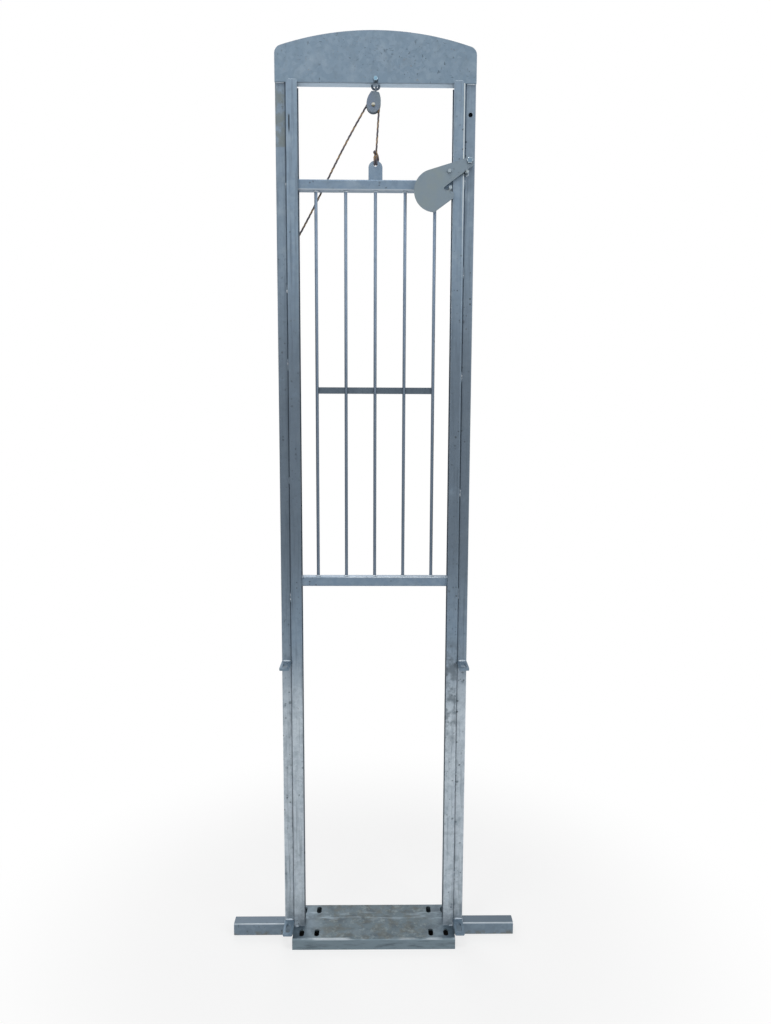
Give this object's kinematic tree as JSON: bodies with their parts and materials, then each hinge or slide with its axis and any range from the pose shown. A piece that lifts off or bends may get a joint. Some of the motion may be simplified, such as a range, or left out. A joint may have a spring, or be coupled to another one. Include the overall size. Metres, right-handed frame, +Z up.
{
  "type": "guillotine gate",
  "caption": "Guillotine drop gate for a livestock race: arched steel frame, barred gate sliding in side tracks, rope and pulley lift, hooked gravity latch and slotted floor plate.",
  "frame": {"origin": "on the ground, midway between the two posts, in the mid-plane of the gate", "axes": "+X to the right seen from the latch side, +Y to the back, +Z up"},
  "size_m": [0.756, 0.148, 2.301],
  "materials": {
    "galvanised_tube": "hot-dip galvanised square tube and bar, dull blue-grey with spangle, drips and scuffs",
    "galvanised_track": "folded galvanised sheet, blue-grey, scuffed where the gate runs",
    "galvanised_plate": "galvanised plate, matt grey-blue",
    "worn_plate": "galvanised floor plate, trodden, muddy in the middle",
    "zinc_bolt": "bright zinc-plated fasteners and pins",
    "pulley_steel": "zinc-plated pressed steel, dull",
    "rope": "laid three-strand cord, brown with dark and tan strands"
  },
  "bodies": {
    "frame": {"left_upright": "galvanised_tube", "right_upright": "galvanised_tube", "left_track": "galvanised_track", "right_track": "galvanised_track", "crossbar": "galvanised_tube", "head_plate": "galvanised_plate", "head_bolt": "zinc_bolt", "base_plate": "worn_plate", "left_foot": "galvanised_tube", "right_foot": "galvanised_tube", "left_upper_lug": "galvanised_tube", "right_upper_lug": "galvanised_tube", "left_lower_lug": "galvanised_tube", "right_lower_lug": "galvanised_tube", "pulley_bow": "pulley_steel", "pulley_block": "pulley_steel", "pulley_axle": "zinc_bolt", "latch_bolt": "zinc_bolt", "latch_bush": "zinc_bolt", "latch_stop_pin": "zinc_bolt", "rope_eye": "pulley_steel", "rope_run": "rope", "rope_drop": "rope", "rope_tail": "rope", "rope_tail_knot": "rope"},
    "gate": {"gate_top_rail": "galvanised_tube", "gate_bottom_rail": "galvanised_tube", "gate_bar_1": "galvanised_tube", "gate_bar_2": "galvanised_tube", "gate_bar_3": "galvanised_tube", "gate_bar_4": "galvanised_tube", "gate_bar_5": "galvanised_tube", "gate_mid_flat": "galvanised_tube", "rope_tab": "galvanised_plate", "catch_pin": "zinc_bolt", "rope_knot": "rope"},
    "latch": {"latch_plate": "galvanised_plate", "latch_stud": "zinc_bolt"},
    "sheave": {"pulley_sheave": "pulley_steel"}
  },
  "joints": [
    {"name": "gate_slide", "type": "slide", "parent": "frame", "child": "gate", "axis": [0, 0, 1], "range_m": [-0.928, 0.005], "deforming": ["rope_drop"]},
    {"name": "latch_swing", "type": "hinge", "parent": "frame", "child": "latch", "pos_m": [0.2255, -0.0275, 2.005], "axis": [0, 1, 0], "range_deg": [0, 255]},
    {"name": "sheave_spin", "type": "hinge", "parent": "frame", "child": "sheave", "pos_m": [-0.00558, 0, 2.13804], "axis": [0, 1, 0], "continuous": true}
  ],
  "couplings": [
    {"joint": "sheave_spin", "follows": "gate_slide", "rad_per_m": -71.429}
  ]
}
